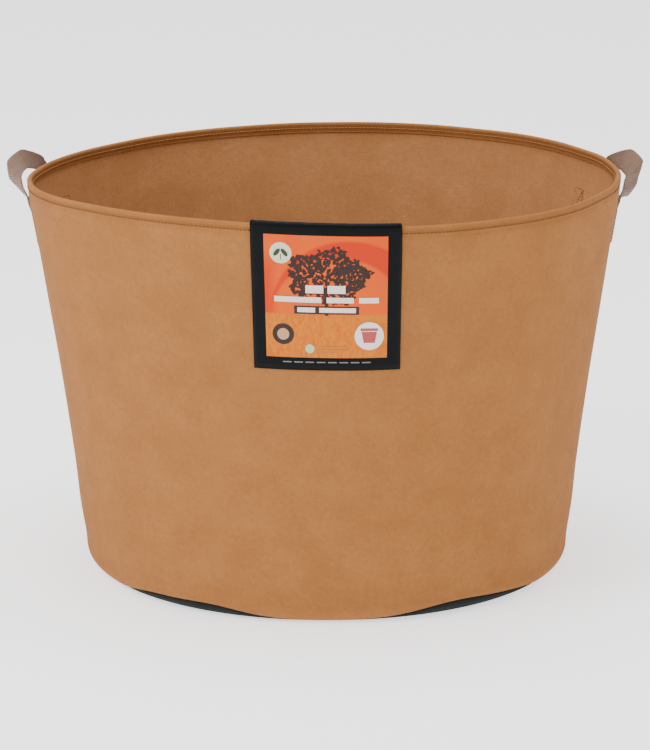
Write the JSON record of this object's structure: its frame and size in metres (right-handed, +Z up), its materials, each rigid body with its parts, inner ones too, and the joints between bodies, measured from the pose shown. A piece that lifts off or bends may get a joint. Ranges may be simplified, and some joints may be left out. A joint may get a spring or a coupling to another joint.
{
  "type": "fabric grow bag",
  "caption": "Round felt plant pot with a dark base, folded and stitched rim, two webbing strap handles that flop outward, and a printed card label over the rim.",
  "frame": {"origin": "middle of the underside, on the floor", "axes": "+Z up along the bag's axis, -Y towards the side with the label, +X towards the right-hand handle"},
  "size_m": [0.6688, 0.6123, 0.4226],
  "materials": {
    "tan_felt": "matte needle felt",
    "dark_felt": "matte needle felt",
    "webbing": "ribbed woven webbing with a faint sheen",
    "tan_thread": "twisted sewing thread",
    "black_thread": "twisted sewing thread",
    "printed_card": "film-laminated printed card"
  },
  "bodies": {
    "bag": {"wall_panel": "tan_felt", "base_disc": "dark_felt", "hem_needle_thread": "tan_thread", "hem_bobbin_thread": "tan_thread", "base_seam_needle_thread": "black_thread", "base_seam_bobbin_thread": "black_thread", "side_seam_needle_thread": "tan_thread", "side_seam_bobbin_thread": "tan_thread", "label_card": "printed_card", "handle_right_front_tab": "webbing", "handle_right_front_tab_needle_thread": "tan_thread", "handle_right_front_tab_bobbin_thread": "tan_thread", "handle_right_rear_tab": "webbing", "handle_right_rear_tab_needle_thread": "tan_thread", "handle_right_rear_tab_bobbin_thread": "tan_thread", "handle_left_front_tab": "webbing", "handle_left_front_tab_needle_thread": "tan_thread", "handle_left_front_tab_bobbin_thread": "tan_thread", "handle_left_rear_tab": "webbing", "handle_left_rear_tab_needle_thread": "tan_thread", "handle_left_rear_tab_bobbin_thread": "tan_thread"},
    "handle_right": {"handle_right_loop": "webbing"},
    "handle_left": {"handle_left_loop": "webbing"}
  },
  "joints": [
    {"name": "handle_right_swing", "type": "hinge", "parent": "bag", "child": "handle_right", "pos_m": [0.29049, 0.05647, 0.375], "axis": [-0.1908, 0.9816, 0], "range_deg": [-2, 92]},
    {"name": "handle_left_swing", "type": "hinge", "parent": "bag", "child": "handle_left", "pos_m": [-0.29049, 0.05647, 0.375], "axis": [-0.1908, -0.9816, 0], "range_deg": [-2, 92]}
  ]
}
